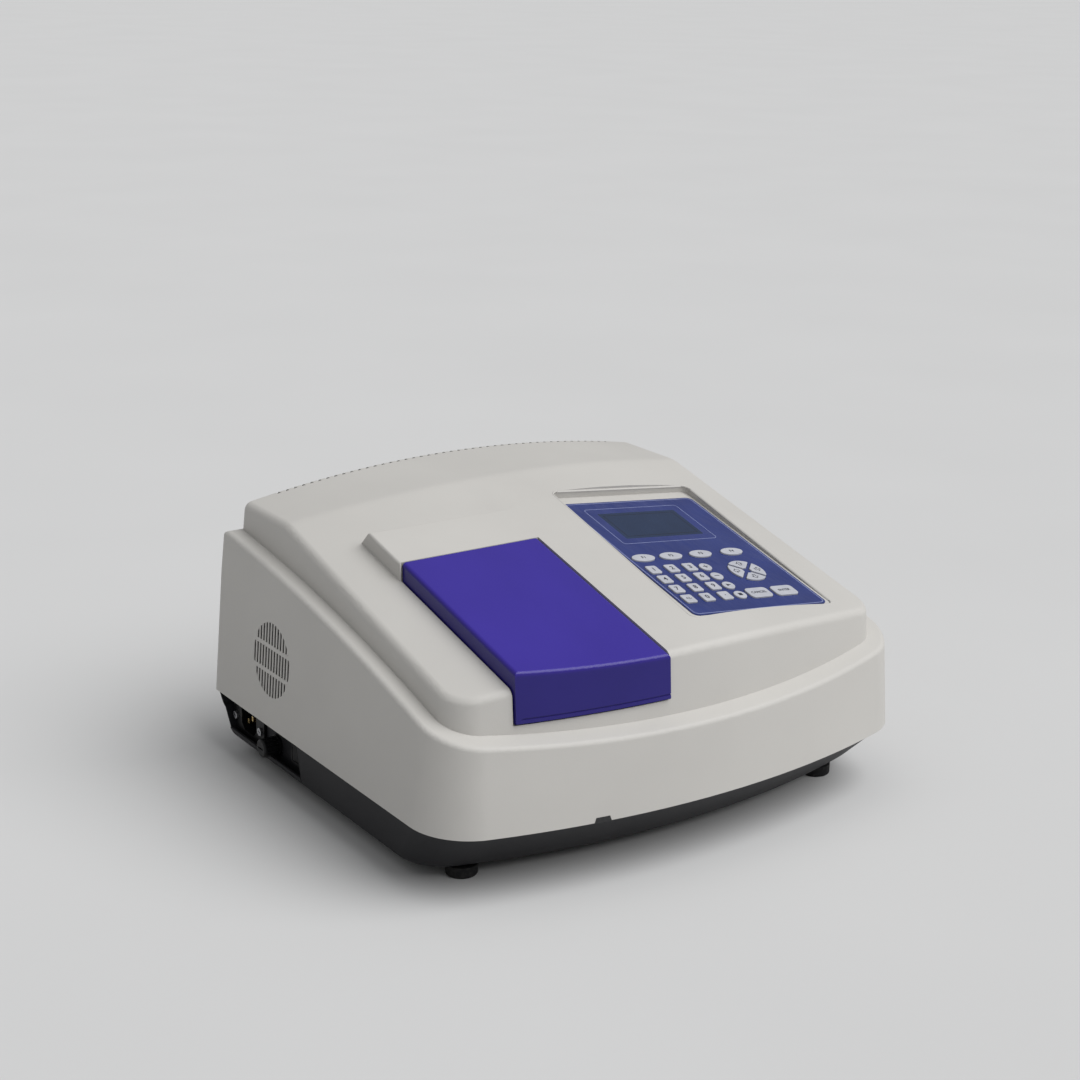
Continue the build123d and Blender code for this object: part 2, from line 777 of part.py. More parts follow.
def rocker_switch():
    """Rocker with a shallow vee face, resting on its off side."""
    half = rocker_half
    face = recess_x - 3.0
    points = [(face, switch_y + half), (face + 1.6, switch_y), (face, switch_y - half),
              (rocker_x + 2.5, switch_y - half), (rocker_x + 4, switch_y), (rocker_x + 2.5, switch_y + half)]
    high = switch_height / 2 - 2.6
    body = extrude(Plane.XY.offset(connector_z - high) * make_face(Polyline(*points, close=True)), amount=2 * high)
    body += post(1.0, rocker_x, switch_y, connector_z - high - 0.8, connector_z + high + 0.8)
    pivot = Pos(rocker_x, switch_y, connector_z)
    return pivot * Rot(0, 0, -rocker_swing) * Pos(-rocker_x, -switch_y, -connector_z) * body


def feet():
    """Four rubber feet under the tray."""
    items = []
    for x in (-foot_x, foot_x):
        for y in (foot_front, foot_back):
            foot = Pos(x, y, -tray_depth - foot_height / 2) * Cylinder(foot_radius, foot_height)
            items.append(fillet(foot.edges().sort_by(Axis.Z)[0], 1.5))
    return group(items)


def cover_screws():
    """Four long screws from under the tray into the cover's posts."""
    items = []
    seat = -tray_depth + counterbore
    for x, y in case_screws():
        screw = post(screw_head_radius, x, y, seat - screw_head_height, seat)
        items.append(screw + post(screw_radius, x, y, seat, screw_bite))
    return group(items)


def optical_bench():
    """Cast plate that carries every optical piece, with its grating bearing."""
    plate = box(bench_left, bench_right, bench_front, bench_back, bench_bottom, bench_top)
    corners = plate.edges().filter_by(Axis.Z)
    front_pair = corners.group_by(Axis.Y)[0]
    plate = chamfer(front_pair, 24.0)
    for x, y in bench_screws():
        plate -= post(2.2, x, y, bench_bottom - 1, bench_top + 1)
    for x, y in case_screws():
        plate -= post(post_radius + 2, x, y, bench_bottom - 1, bench_top + 1)
    return plate - post(3 + running_gap, grating_x, grating_y, bench_bottom, bench_top + 1)


grating_x = (mono_left + mono_right) / 2 + 30
grating_y = mono_back - 40


def monochromator_case():
    """Light-tight case over the grating, open below where it stands on the bench."""
    outer = box(mono_left, mono_right, mono_front, mono_back, bench_top, bench_top + mono_height)
    outer = fillet(outer.edges().filter_by(Axis.Z), 5.0)
    inner = box(mono_left + mono_wall, mono_right - mono_wall, mono_front + mono_wall, mono_back - mono_wall,
                bench_top - 1, bench_top + mono_height - mono_wall)
    case = outer - inner
    case -= tube_x(beam_hole - 1, mono_left - 1, mono_left + mono_wall + 1, beam_y, beam_z)
    case -= tube_y(beam_hole - 1, lamp_left + 40, mono_back - mono_wall - 1, mono_back + 1, beam_z)
    for x, y in board_screws():
        case += post(4.0, x, y, bench_top + mono_height - 1, bench_top + mono_height + board_gap)
    return case


def board_screws():
    """Standoffs for the main board on top of the case."""
    return [(x, y) for x in (mono_left + 14, mono_right - 14) for y in (mono_back - 14, mono_front + 14)]


def main_board():
    """Controller board with its larger components."""
    low = bench_top + mono_height + board_gap
    board = box(mono_left + 5, mono_right - 5, mono_front + 5, mono_back - 5, low, low + board_thickness)
    chips = [(20, -150, 22, 22, 3), (70, -150, 14, 28, 3), (110, -170, 18, 12, 9), (20, -210, 30, 12, 8),
             (75, -235, 40, 10, 4), (120, -245, 10, 24, 10), (40, -260, 16, 16, 2)]
    for x, y, wide, long, high in chips:
        board += box(x - wide / 2, x + wide / 2, y - long / 2, y + long / 2,
                     low + board_thickness, low + board_thickness + high)
    return board


def diffraction_grating():
    """Ruled grating in its holder on a turning shaft."""
    low = bench_top + key_gap
    table = post(14.0, grating_x, grating_y, low, low + 4)
    table += post(3.0, grating_x, grating_y, bench_bottom + 1, low)
    holder = box(grating_x - 15, grating_x + 15, grating_y - 2, grating_y + 6, low + 4, low + 38)
    holder -= box(grating_x - 12.5, grating_x + 12.5, grating_y - 3, grating_y - 1, low + 7, low + 35)
    return table + holder


def lamp_house():
    """Ventilated sheet housing over the two lamps."""
    outer = box(lamp_left, bench_right, lamp_front, lamp_back, bench_top, bench_top + lamp_height)
    inner = box(lamp_left + lamp_wall, bench_right - lamp_wall, lamp_front + lamp_wall, lamp_back - lamp_wall,
                bench_top - 1, bench_top + lamp_height - lamp_wall)
    house = outer - inner
    house -= tube_y(beam_hole - 1, lamp_left + 40, lamp_front - 1, lamp_front + lamp_wall + 1, beam_z)
    slots = []
    for i in range(8):
        x = lamp_left + 12 + i * 9
        slots.append(box(x, x + 4, lamp_front + 12, lamp_back - 12, bench_top + lamp_height - 5,
                         bench_top + lamp_height + 1))
        slots.append(box(x, x + 4, lamp_back - 5, lamp_back + 1, bench_top + 12, bench_top + lamp_height - 14))
    return house - slots


def halogen_lamp():
    """Tungsten-halogen lamp: ceramic base and small glass bulb."""
    x, y = lamp_left + 26, lamp_back - 40
    lamp = box(x - 9, x + 9, y - 7, y + 7, bench_top, bench_top + 18)
    bulb = post(6.0, x, y, bench_top + 18, bench_top + 40)
    return lamp + fillet(bulb.edges().sort_by(Axis.Z)[-1], 4.0)


def deuterium_lamp():
    """Deuterium lamp: flange, collar and tall glass envelope."""
    x, y = lamp_left + 62, lamp_back - 40
    lamp = box(x - 18, x + 18, y - 18, y + 18, bench_top, bench_top + 4)
    lamp += post(11.0, x, y, bench_top + 4, bench_top + 14)
    envelope = post(13.0, x, y, bench_top + 14, bench_top + 56)
    return lamp + fillet(envelope.edges().sort_by(Axis.Z)[-1], 8.0)


def detector_block():
    """Photodiode block on the left of the chamber, facing the beam."""
    right = chamber_left
    body = box(right - 30, right, beam_y - 20, beam_y + 20, bench_top, beam_z + 22)
    body = chamfer(body.edges().filter_by(Axis.Y).group_by(Axis.Z)[-1], 3.0)
    return body - tube_x(beam_hole, right - 12, right + 1, beam_y, beam_z)


def power_supply():
    """Closed power supply with cooling fins on its top."""
    left, right, back, front = -150.0, -44.0, -30.0, -118.0
    high = bench_top + 34
    body = box(left, right, front, back, bench_top, high)
    for i in range(13):
        x = left + 5 + i * 8
        body += box(x, x + 2.5, front + 4, back - 4, high - 1, high + 9)
    return body


def fan_frame():
    """Square fan frame on the back wall, with its four motor struts."""
    low, high = fan_z - fan_size / 2, fan_z + fan_size / 2
    back = -draft * high - cover_wall - key_gap - draft * 4
    front = back - fan_depth
    frame = box(fan_x - fan_size / 2, fan_x + fan_size / 2, front, back, low, high)
    frame = fillet(frame.edges().filter_by(Axis.Y), 4.0)
    frame -= tube_y(fan_bore, fan_x, front - 1, back + 1, fan_z)
    for sx in (-1, 1):
        for sz in (-1, 1):
            frame -= tube_y(2.2, fan_x + sx * 25, front - 1, back + 1, fan_z + sz * 25)
    spider = tube_y(fan_hub, fan_x, front, front + 2, fan_z)
    spider += box(fan_x - fan_bore - 1, fan_x + fan_bore + 1, front, front + 2, fan_z - 2, fan_z + 2)
    spider += box(fan_x - 2, fan_x + 2, front, front + 2, fan_z - fan_bore - 1, fan_z + fan_bore + 1)
    return frame + spider + tube_y(2.0, fan_x, front, front + 10, fan_z)


def fan_rotor():
    """Fan hub with its blades, on the frame's stub."""
    back = -draft * (fan_z + fan_size / 2) - cover_wall - key_gap - draft * 4
    front = back - fan_depth + 2.4
    rotor = tube_y(fan_hub, fan_x, front, back - 1, fan_z)
    blade = Pos(0, 0, (fan_hub + fan_bore - 2) / 2) * Rot(0, 0, 28) * Box(1.6, back - 2 - front, fan_bore - fan_hub)
    for i in range(fan_blades):
        rotor += Pos(fan_x, (front + back - 1) / 2, fan_z) * Rot(0, 360 * i / fan_blades, 0) * blade
    return rotor - tube_y(2.0 + running_gap, fan_x, front - 1, front + 8.2, fan_z)


def make_key(plan, u, v, crown=0.5):
    """A key: rounded cap, thin flange under the overlay and a stem above its switch."""
    cap = Pos(0, 0, -key_gap - key_flange_thickness) * extrude(
        plan(0), amount=overlay_thickness + key_height + key_gap + key_flange_thickness)
    top = cap.faces().sort_by(Axis.Z)[-1]
    cap = fillet(top.edges(), crown)
    flange = Pos(0, 0, -key_gap - key_flange_thickness) * extrude(plan(key_flange), amount=key_flange_thickness)
    middle = plan(0).center()
    stem = Pos(middle.X, middle.Y, -pocket_floor + key_travel + 0.1) * extrude(Circle(2.0), amount=2.0)
    return on_panel(Pos(u, v) * (cap + flange + stem))


def digit_plan(grow):
    """Plan of a number key."""
    return RectangleRounded(digit_width + 2 * grow, digit_length + 2 * grow, 1.6 + grow)


def oval_plan(grow):
    """Plan of a function key."""
    return Ellipse(oval_width / 2 + grow, oval_length / 2 + grow)


def round_plan(grow):
    """Plan of a small round key."""
    return Circle(round_radius + grow)


def big_plan(grow):
    """Plan of the cancel and enter keys."""
    return RectangleRounded(big_width + 2 * grow, big_length + 2 * grow, 3.5 + grow)


def arrow_plan(turn):
    """Plan of one quarter of the arrow ring, with straight gaps to its neighbours."""
    def plan(grow):
        ring = Circle(arrow_reach + grow) - Circle(arrow_inner - grow)
        low = arrow_gap - grow * sqrt(2)
        wedge = make_face(Polyline((0, low), (2 * arrow_reach, 2 * arrow_reach + low),
                                   (-2 * arrow_reach, 2 * arrow_reach + low), close=True))
        piece = ring & wedge
        return Rot(0, 0, turn) * fillet(piece.vertices(), 0.8 + grow)
    return plan


def keys():
    """Every key as (name, plan, u, v)."""
    rows = [["key_1", "key_2", "key_3"], ["key_4", "key_5", "key_6"], ["key_7", "key_8", "key_9"],
            ["key_sign", "key_0", "key_point"]]
    for r, row in enumerate(rows):
        for c, name in enumerate(row):
            yield name, digit_plan, digit_u + c * digit_pitch_u, digit_v - r * digit_pitch_v
    for i, u in enumerate(oval_us):
        yield f"key_function_{i + 1}", oval_plan, u, oval_v
    for i in range(4):
        yield f"key_round_{i + 1}", round_plan, round_u, round_v - i * round_pitch
    for name, turn in (("key_up", 0), ("key_left", 90), ("key_down", 180), ("key_right", 270)):
        yield name, arrow_plan(turn), arrow_u, arrow_v
    for name, u in zip(("key_cancel", "key_enter"), big_us):
        yield name, big_plan, u, big_v


def keypad_overlay():
    """Blue film over the panel, cut out for each key and for the display."""
    sheet = slab(0, overlay_offset, overlay_width, overlay_length, 0, overlay_thickness, overlay_corner)
    sheet -= slab(window_u, window_v, window_width, window_length, -1, 2, 1.5)
    for _, plan, u, v in keys():
        sheet -= Pos(u, v, -1) * extrude(plan(key_gap), amount=3)
    return on_panel(sheet)


def lcd_window():
    """Clear window set in the overlay."""
    return on_panel(slab(window_u, window_v, window_width, window_length, 0, overlay_thickness, 1.5))


def lcd_module():
    """Display module: raised bezel under the window, and its board under the panel."""
    bezel = slab(window_u, window_v, window_width + 8, window_length + 6, -pocket_floor, 0, 1.0)
    board = slab(window_u, window_v, window_width + 21, window_length + 16, -pocket_floor - 9, -pocket_floor, 1.5)
    return on_panel(bezel + board)


def keypad_plate():
    """Switch board under the keys."""
    return on_panel(slab(0, -42, overlay_width - 3, 94, -pocket_floor - 1.6, -pocket_floor, 3))


single_parts = {
    "upper_cover": upper_cover,
    "base_tray": base_tray,
    "feet": feet,
    "cover_screws": cover_screws,
    "sample_lid": sample_lid,
    "lid_hinge_rod": lid_hinge_rod,
    "hinge_brackets": hinge_brackets,
    "lid_seal": lid_seal,
    "sample_chamber": sample_chamber,
    "cell_carriage": cell_carriage,
    "guide_rods": guide_rods,
    "carriage_drive": carriage_drive,
    "keypad_overlay": keypad_overlay,
    "keypad_plate": keypad_plate,
    "lcd_module": lcd_module,
    "lcd_window": lcd_window,
    "main_board": main_board,
    "power_inlet": power_inlet,
    "inlet_pins": inlet_pins,
    "inlet_screws": inlet_screws,
    "fuse_holder": fuse_holder,
    "fuse_cap": fuse_cap,
    "switch_frame": switch_frame,
    "rocker_switch": rocker_switch,
    "fan_frame": fan_frame,
    "fan_rotor": fan_rotor,
    "optical_bench": optical_bench,
    "monochromator_case": monochromator_case,
    "diffraction_grating": diffraction_grating,
    "lamp_house": lamp_house,
    "halogen_lamp": halogen_lamp,
    "deuterium_lamp": deuterium_lamp,
    "detector_block": detector_block,
    "power_supply": power_supply,
}

for name, make in single_parts.items():
    save(name, make())
for name, plan, u, v in keys():
    save(name, make_key(plan, u, v))

# Places that the joints need, in the exported frame
for label, x, y, z in (
    ("lid hinge", (lid_left + lid_right) / 2, hinge_y, hinge_z),
    ("fuse cap", recess_x, fuse_y, fuse_z),
    ("rocker", rocker_x, switch_y, connector_z),
    ("fan", fan_x, 0, fan_z),
    ("grating", grating_x, grating_y, bench_top),
    ("panel", *panel.origin.to_tuple()),
):
    print(label, round(x, 3), round(y + depth / 2, 3), round(z + seam_height, 3))
print("panel normal", [round(c, 5) for c in panel.z_dir.to_tuple()])
print("cell travel", cell_travel)
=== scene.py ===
import math

import bmesh
import bpy
import numpy as np
from mathutils import Matrix, Vector


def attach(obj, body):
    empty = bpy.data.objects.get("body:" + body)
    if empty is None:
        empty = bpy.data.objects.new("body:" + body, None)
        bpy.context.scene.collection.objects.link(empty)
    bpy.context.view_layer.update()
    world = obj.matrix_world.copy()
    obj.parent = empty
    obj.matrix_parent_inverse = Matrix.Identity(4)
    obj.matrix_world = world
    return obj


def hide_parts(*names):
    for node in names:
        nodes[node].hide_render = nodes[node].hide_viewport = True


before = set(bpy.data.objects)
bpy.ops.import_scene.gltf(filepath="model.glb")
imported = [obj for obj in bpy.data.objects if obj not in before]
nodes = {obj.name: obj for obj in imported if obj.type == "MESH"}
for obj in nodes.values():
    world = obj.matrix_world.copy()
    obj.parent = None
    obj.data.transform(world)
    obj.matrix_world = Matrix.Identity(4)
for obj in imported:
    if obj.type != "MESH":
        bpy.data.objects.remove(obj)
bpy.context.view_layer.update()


# The camera stands at the front left of the instrument, a little above its roof, and is
# rolled by less than a degree. One long lens takes in the whole instrument.
def put_in(name, data):
    """Makes an object of some data and puts it in the scene."""
    made = bpy.data.objects.new(name, data)
    bpy.context.scene.collection.objects.link(made)
    return made


eye = Vector((-0.80728, -1.14161, 0.61010))
ahead = Vector((0.54038, 0.78804, -0.29492)).normalized()
turn = math.radians(-34.44)
roll = math.radians(0.907)
level_right = Vector((math.cos(turn), math.sin(turn), 0.0))
level_up = level_right.cross(ahead)
right = math.cos(roll) * level_right + math.sin(roll) * level_up
up = -math.sin(roll) * level_right + math.cos(roll) * level_up
camera = put_in("camera", bpy.data.cameras.new("camera"))
camera.matrix_world = Matrix.Translation(eye) @ Matrix((right, up, -ahead)).transposed().to_4x4()
camera.data.lens = 67.44
camera.data.sensor_width = 36.0
camera.data.clip_start = 0.05
camera.data.clip_end = 200.0
bpy.context.scene.camera = camera
bpy.context.scene.view_settings.view_transform = "Standard"

# The light is one wide soft lamp over the right front, and a pale room that is a little
# brighter overhead, so the left side lies in an even shade.
lamp = put_in("key_light", bpy.data.lights.new("key_light", "SUN"))
lamp.data.energy = 2.6
lamp.data.angle = math.radians(55)
lamp.rotation_mode = "QUATERNION"
lamp.rotation_quaternion = Vector((0.36, -0.50, 0.80)).to_track_quat("Z", "Y")
room = bpy.data.worlds.new("room")
room.use_nodes = True
bpy.context.scene.world = room
sky = room.node_tree
heading = sky.nodes.new("ShaderNodeTexCoord")
height = sky.nodes.new("ShaderNodeSeparateXYZ")
rise = sky.nodes.new("ShaderNodeMapRange")
room_strength = {"From Min": -0.2, "From Max": 1.0, "To Min": 0.17, "To Max": 0.48}
for key, value in room_strength.items():
    rise.inputs[key].default_value = value
sky.links.new(heading.outputs["Generated"], height.inputs[0])
sky.links.new(height.outputs["Z"], rise.inputs["Value"])
sky.links.new(rise.outputs[0], sky.nodes["Background"].inputs["Strength"])
sky.nodes["Background"].inputs["Color"].default_value = (0.98, 0.99, 1.0, 1.0)


# The bench top under the instrument is one matt pale sheet that runs on to the horizon.
# It takes the soft shadow of the instrument and bounces light up under the cover.
class Value:
    """One socket of a material, which takes part in sums as a number does."""

    def __init__(self, finish, socket):
        self.finish = finish
        self.socket = socket

    def maths(self, operation, *others):
        """A Math node on this value, with the others in its next sockets."""
        terms = dict(enumerate((self, *others)))
        return self.finish.node("ShaderNodeMath", {"operation": operation}, terms)

    def __add__(self, other):
        return self.maths("ADD", other)

    def __sub__(self, other):
        return self.maths("SUBTRACT", other)

    def __rsub__(self, other):
        return self.finish.node("ShaderNodeMath", {"operation": "SUBTRACT"}, {0: other, 1: self})

    def __mul__(self, other):
        return self.maths("MULTIPLY", other)

    def __truediv__(self, other):
        return self.maths("DIVIDE", other)

    def __abs__(self):
        return self.maths("ABSOLUTE")

    def __lt__(self, other):
        return self.maths("LESS_THAN", other)

    __radd__ = __add__
    __rmul__ = __mul__


class Finish:
    """A material written as expressions on the piece's own coordinates, in metres."""

    def __init__(self, name, roughness=0.5, metallic=0.0, coat=0.0, specular=0.5):
        self.material = bpy.data.materials.new(name)
        self.material.use_nodes = True
        self.tree = self.material.node_tree
        self.shader = self.tree.nodes["Principled BSDF"]
        self.set("Roughness", roughness)
        self.set("Metallic", metallic)
        self.set("Coat Weight", coat)
        self.set("Specular IOR Level", specular)

    def node(self, kind, settings=None, sockets=None, output=0):
        """Adds one node: its settings first, then the values or links of its sockets."""
        made = self.tree.nodes.new(kind)
        for key, value in (settings or {}).items():
            if key == "stops":
                ramp = made.color_ramp.elements
                while len(ramp) < len(value):
                    ramp.new(0.5)
                for stop, (place, colour) in zip(ramp, value):
                    stop.position = place
                    stop.color = (*colour, 1.0)
            else:
                setattr(made, key, value)
        for key, value in (sockets or {}).items():
            self.feed(made.inputs[key], value)
        return Value(self, made.outputs[output])

    def feed(self, socket, value):
        """Links a value to a socket, or sets a plain number or colour on it."""
        if isinstance(value, Value):
            self.tree.links.new(value.socket, socket)
        else:
            socket.default_value = value

    def set(self, socket, value):
        self.feed(self.shader.inputs[socket], value)

    def place(self):
        return self.node("ShaderNodeTexCoord", output="Object")

    def axes(self, wanted):
        """The surface point's coordinates, one value for each axis letter."""
        return [self.node("ShaderNodeSeparateXYZ", {}, {0: self.place()}, axis) for axis in wanted]

    def noise(self, scale, detail=2.0, stretch=(1.0, 1.0, 1.0)):
        """Cloudy noise from 0 to 1, with its lumps 1/scale metres wide."""
        spot = self.node("ShaderNodeMapping", {}, {"Vector": self.place(), "Scale": stretch})
        sockets = {"Vector": spot, "Scale": scale, "Detail": detail}
        return self.node("ShaderNodeTexNoise", {}, sockets, "Fac")

    def ramp(self, value, *stops):
        return self.node("ShaderNodeValToRGB", {"stops": stops}, {"Fac": value}, "Color")

    def between(self, value, low, high, spread=(0.3, 0.7)):
        """Colour that goes from low to high as a value crosses the middle of its range."""
        return self.ramp(value, (spread[0], low), (spread[1], high))

    def tint(self, value, low, high, spread=(0.3, 0.7)):
        """Gives the surface a colour that goes from low to high with a value."""
        self.set("Base Color", self.between(value, low, high, spread))

    def mix(self, share, first, second):
        """Colour that goes from first to second as share goes from 0 to 1."""
        sockets = {0: share, 6: first, 7: second}
        return self.node("ShaderNodeMix", {"data_type": "RGBA"}, sockets, 2)

    def bump(self, height, depth, strength=1.0):
        """Raises the surface by height times depth metres."""
        sockets = {"Height": height, "Distance": depth, "Strength": strength}
        self.set("Normal", self.node("ShaderNodeBump", {}, sockets, "Normal"))


reach = 40.0
bench = bpy.data.meshes.new("bench_sheet")
bench_corners = [(-reach, -reach, 0), (reach, -reach, 0), (reach, reach, 0), (-reach, reach, 0)]
bench.from_pydata(bench_corners, [], [(0, 1, 2, 3)])
paper = Finish("pale_bench", roughness=0.9, specular=0.1)
paper.tint(paper.noise(3.0), (0.600, 0.600, 0.600), (0.612, 0.612, 0.612))
bench.materials.append(paper.material)
put_in("bench_sheet", bench)


# The cover is one light grey moulding with a stepped skirt, a crowned roof and vent slots.
# It is spark-textured ABS with painted shade, near black, inside the vent slots, and four long
# screws pull it down on to the tray.
def skin(name, finish, body="case", crease=30.0):
    """A merged copy of a solid, smooth except over edges sharper than crease degrees."""
    mesh = nodes[name].data.copy()
    work = bmesh.new()
    work.from_mesh(mesh)
    bmesh.ops.remove_doubles(work, verts=work.verts, dist=2e-6)
    work.to_mesh(mesh)
    work.free()
    if "custom_normal" in mesh.attributes:
        mesh.attributes.remove(mesh.attributes["custom_normal"])
    mesh.shade_smooth()
    mesh.set_sharp_from_angle(angle=math.radians(crease))
    mesh.materials.clear()
    mesh.materials.append(finish.material)
    piece = put_in(name + "_skin", mesh)
    weighted = piece.modifiers.new("even shading", "WEIGHTED_NORMAL")
    weighted.keep_sharp = True
    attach(piece, body)
    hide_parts(name)


cover_half_width = 0.2
seam_height = 0.047
wall_lean = math.tan(math.radians(4.2))
vent_y, vent_z, vent_reach = 0.0875, 0.097, 0.029
vent_inmost = -0.18
vent_shade_depth = 0.0006
shell_grey = Finish("cover_grey", roughness=0.52, specular=0.4)
clouds = shell_grey.noise(9.0, 3.0)
grain = shell_grey.noise(1500.0, 2.0)
pale = shell_grey.between(clouds * 0.8 + grain * 0.2, (0.512, 0.498, 0.474), (0.552, 0.538, 0.512))
shell_x, shell_y, shell_z = shell_grey.axes("XYZ")
along_vent = abs(shell_y - vent_y) < vent_reach
up_vent = abs(shell_z - vent_z) < vent_reach
by_vent = along_vent * up_vent * (shell_x < vent_inmost)
# Painted shade: inside the vent, deeper than the wall's outer face, the cover is coloured near
# black.
depth_in_wall = shell_x + cover_half_width - (shell_z - seam_height) * wall_lean
painted_vent_shade = by_vent * (1.0 - (depth_in_wall < vent_shade_depth))
shell_grey.set("Base Color", shell_grey.mix(painted_vent_shade, pale, (0.018, 0.018, 0.019, 1.0)))
shell_grey.set("Roughness", clouds * 0.12 + 0.46)
shell_grey.bump(grain, 0.00010, 0.45)
skin("upper_cover", shell_grey)

# The tray closes the cover from below: dark grey ABS with a sloped front, a pocket for the
# connectors on the left, bosses for the bench and air slots in its floor.
tray_dark = Finish("tray_dark", roughness=0.55, specular=0.25)
tray_grain = tray_dark.noise(1200.0, 2.0)
tray_tone = tray_dark.noise(14.0, 3.0) * 0.7 + tray_grain * 0.3
tray_dark.tint(tray_tone, (0.011, 0.011, 0.013), (0.019, 0.019, 0.022))
tray_dark.bump(tray_grain, 0.00012, 0.5)
skin("base_tray", tray_dark)


# The pocket is closed at its back by a leaning end wall, and a low sill runs along its
# foot. Both are moulded with the tray, in the same dark plastic.
def tray_faces(z):
    """The tray's left face and back face at a height: they lean in, then roll under the floor."""
    heights = [0.0105, 0.0130, 0.0160, 0.0470]
    left = np.interp(z, heights, [-0.1893, -0.1913, -0.1924, -0.1980])
    return left, np.interp(z, heights, [0.1641, 0.1665, 0.1680, 0.1775])


def thin_piece(name, x, y, z, thickness, side, finish):
    """A sheet through a grid of points, thickened behind its face (side -1) or before it (1)."""
    rows, columns = x.shape
    spot = np.arange(rows * columns).reshape(rows, columns)
    quads = np.stack([spot[:-1, :-1], spot[:-1, 1:], spot[1:, 1:], spot[1:, :-1]], -1).reshape(-1, 4)
    points = np.stack([x, y, z], -1).reshape(-1, 3)
    mesh = bpy.data.meshes.new(name)
    mesh.from_pydata(points.tolist(), [], quads.tolist())
    mesh.materials.append(finish.material)
    piece = put_in(name, mesh)
    wall = piece.modifiers.new("wall", "SOLIDIFY")
    wall.thickness = thickness
    wall.offset = side
    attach(piece, "case")


end_top, end_foot, end_inner = 0.0345, 0.0115, -0.1845
share, fall = np.meshgrid(np.linspace(0, 1, 4), np.linspace(end_top, end_foot, 12))
end_x, end_y = tray_faces(fall)
end_x += np.interp(fall, [0.0160, end_top], [0.0008, 0.0019])
end_across = end_x + share * (end_inner - end_x)
thin_piece("pocket_end", end_across, end_y - 0.0002, fall, 0.0012, -1.0, tray_dark)
sill_front, sill_foot, sill_top, sill_short = 0.0540, 0.0105, 0.0172, 0.0014
run, lift = np.meshgrid(np.linspace(0, 1, 24), np.linspace(sill_foot, sill_top, 8))
sill_x, sill_end = tray_faces(lift)
sill_along = sill_front + run * (sill_end - sill_short - sill_front)
thin_piece("pocket_sill", sill_x, sill_along, lift, 0.0015, 1.0, tray_dark)

# Four turned rubber feet are pressed on the tray's floor. The rubber is dull black, with
# moulding rings and a little dust on it.
rubber = Finish("foot_rubber", roughness=0.82, specular=0.25)
dust = rubber.noise(260.0, 4.0)
rubber.tint(dust, (0.010, 0.010, 0.011), (0.045, 0.043, 0.040), (0.45, 0.85))
rubber.bump(rubber.noise(900.0, 2.0), 0.0001, 0.6)
skin("feet", rubber)

# The screws are zinc-plated steel, turned and then cross-slotted. The long ones hold the
# cover and the short ones the mains inlet.
steel = Finish("screw_steel", roughness=0.32, metallic=1.0)
scratches = steel.noise(2600.0, 3.0, (1.0, 1.0, 0.15))
steel.tint(scratches, (0.42, 0.42, 0.43), (0.62, 0.62, 0.64))
steel.set("Roughness", scratches * 0.25 + 0.22)
skin("cover_screws", steel)
skin("inlet_screws", steel)

# The sample lid is a deep blue moulding with a satin top, rounded front edges and a thin
# groove near its foot. Its walls take a darker blue than its top as painted shade.
slope = 0.25
slope_height = 0.187625
wall_shade_reach = 0.0035
lid_blue = Finish("lid_blue", roughness=0.36, coat=0.05, specular=0.38)
fine = lid_blue.noise(1700.0, 2.0)
wiped = lid_blue.noise(16.0, 3.0, (1.0, 0.35, 1.0))
lid_y, lid_z = lid_blue.axes("YZ")
# Painted shade: below the flat top, the walls blend into a darker copy of the blue.
below_top = slope_height - (lid_z - lid_y * slope)
painted_wall_shade = (below_top / wall_shade_reach).maths("SMOOTH_MIN", 1.0, 0.2)
lid_tone = wiped * 0.75 + fine * 0.25
lit_top_blue = lid_blue.between(lid_tone, (0.024, 0.010, 0.245), (0.032, 0.015, 0.292))
shaded_wall_blue = lid_blue.between(lid_tone, (0.011, 0.006, 0.138), (0.016, 0.009, 0.166))
lid_blue.set("Base Color", lid_blue.mix(painted_wall_shade, lit_top_blue, shaded_wall_blue))
lid_blue.set("Roughness", wiped * 0.16 + 0.29)
lid_blue.bump(fine, 0.00006, 0.4)
skin("sample_lid", lid_blue, "lid", 26.0)

# The hinge is a ground steel rod in two knuckles of the lid and two folded brackets, which
# are screwed to the back of the sample tub. The carriage's two guide rods are alike.
bracket = Finish("bracket_steel", roughness=0.38, metallic=1.0)
rolled = bracket.noise(1100.0, 3.0, (0.1, 1.0, 1.0))
bracket.tint(rolled, (0.40, 0.41, 0.42), (0.56, 0.57, 0.58))
bracket.set("Roughness", rolled * 0.2 + 0.28)
for name in ("lid_hinge_rod", "hinge_brackets", "guide_rods"):
    skin(name, bracket)

# A black foam gasket lies on the tub's rim and shuts out light under the closed lid. It is
# cut from one open-celled sheet.
foam = Finish("seal_foam", roughness=0.95, specular=0.1)
cells = foam.noise(1900.0, 3.0)
foam.tint(cells, (0.006, 0.006, 0.007), (0.030, 0.030, 0.032), (0.35, 0.7))
foam.bump(cells, 0.0003, 0.8)
skin("lid_seal", foam)

